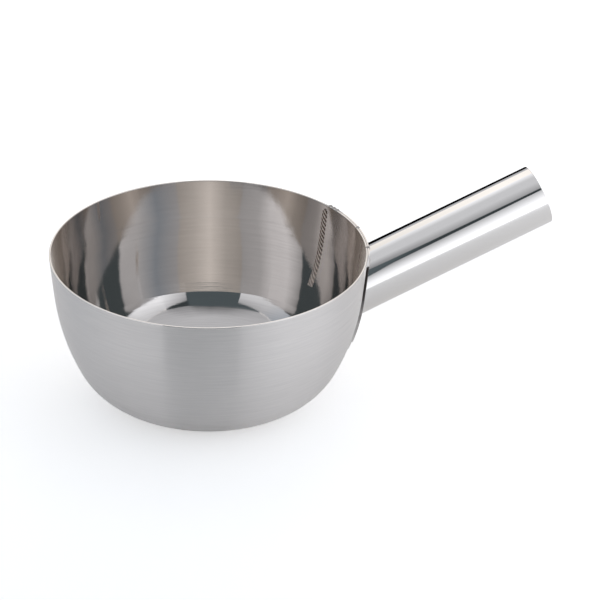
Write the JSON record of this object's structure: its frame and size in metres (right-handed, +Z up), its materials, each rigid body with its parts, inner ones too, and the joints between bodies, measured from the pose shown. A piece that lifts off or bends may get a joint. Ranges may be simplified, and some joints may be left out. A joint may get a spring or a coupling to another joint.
{
  "type": "water dipper",
  "caption": "Stainless steel water dipper: a round drawn bowl with a flat foot and a short open pipe handle, rising from a backing plate welded to the wall.",
  "frame": {"origin": "centre of the bowl's foot, on the plane that the dipper stands on", "axes": "+Z up, +X from the bowl's centre towards the handle, +Y across"},
  "size_m": [0.2666, 0.162, 0.0987],
  "materials": {
    "bowl_steel": "satin outside, semi-polished inside",
    "plate_steel": "satin",
    "pipe_steel": "mirror polished",
    "polished_weld": "ground and polished",
    "weld_bead": "as welded, with brown heat tint"
  },
  "bodies": {
    "root": {"bowl": "bowl_steel", "handle_plate": "plate_steel", "handle_tube": "pipe_steel", "handle_root_weld": "polished_weld", "plate_weld_left": "weld_bead", "plate_weld_right": "weld_bead", "ripple_seam_left": "weld_bead", "ripple_seam_right": "weld_bead", "rim_tack_welds": "weld_bead"}
  },
  "joints": []
}
